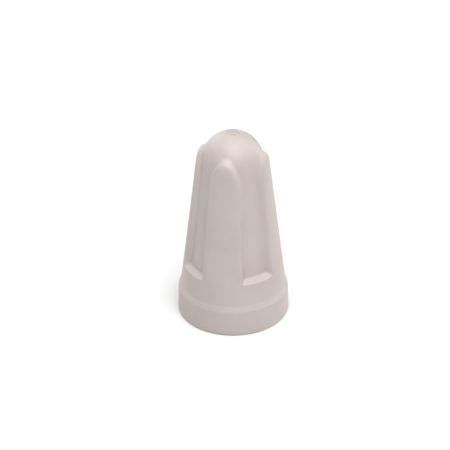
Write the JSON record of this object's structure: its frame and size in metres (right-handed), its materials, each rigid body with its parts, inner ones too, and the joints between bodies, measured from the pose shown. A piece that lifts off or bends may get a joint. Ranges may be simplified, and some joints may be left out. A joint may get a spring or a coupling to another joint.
{
  "type": "twist-on wire connector",
  "caption": "Small grey twist-on cap with ribs and a conical square-wire spring inside, for joining and covering twisted wire ends.",
  "frame": {"origin": "centre of the open mouth, in the plane of the rim it stands on", "axes": "+Z along the cap's axis from the open mouth to the domed closed end; the ribs are centred on the X and Y axes"},
  "size_m": [0.0086, 0.0086, 0.0153],
  "materials": {
    "shell_plastic": "fine moulded matt, warm grey",
    "spring_steel": "bright zinc plate"
  },
  "bodies": {
    "root": {"shell": "shell_plastic", "spring": "spring_steel"}
  },
  "joints": []
}
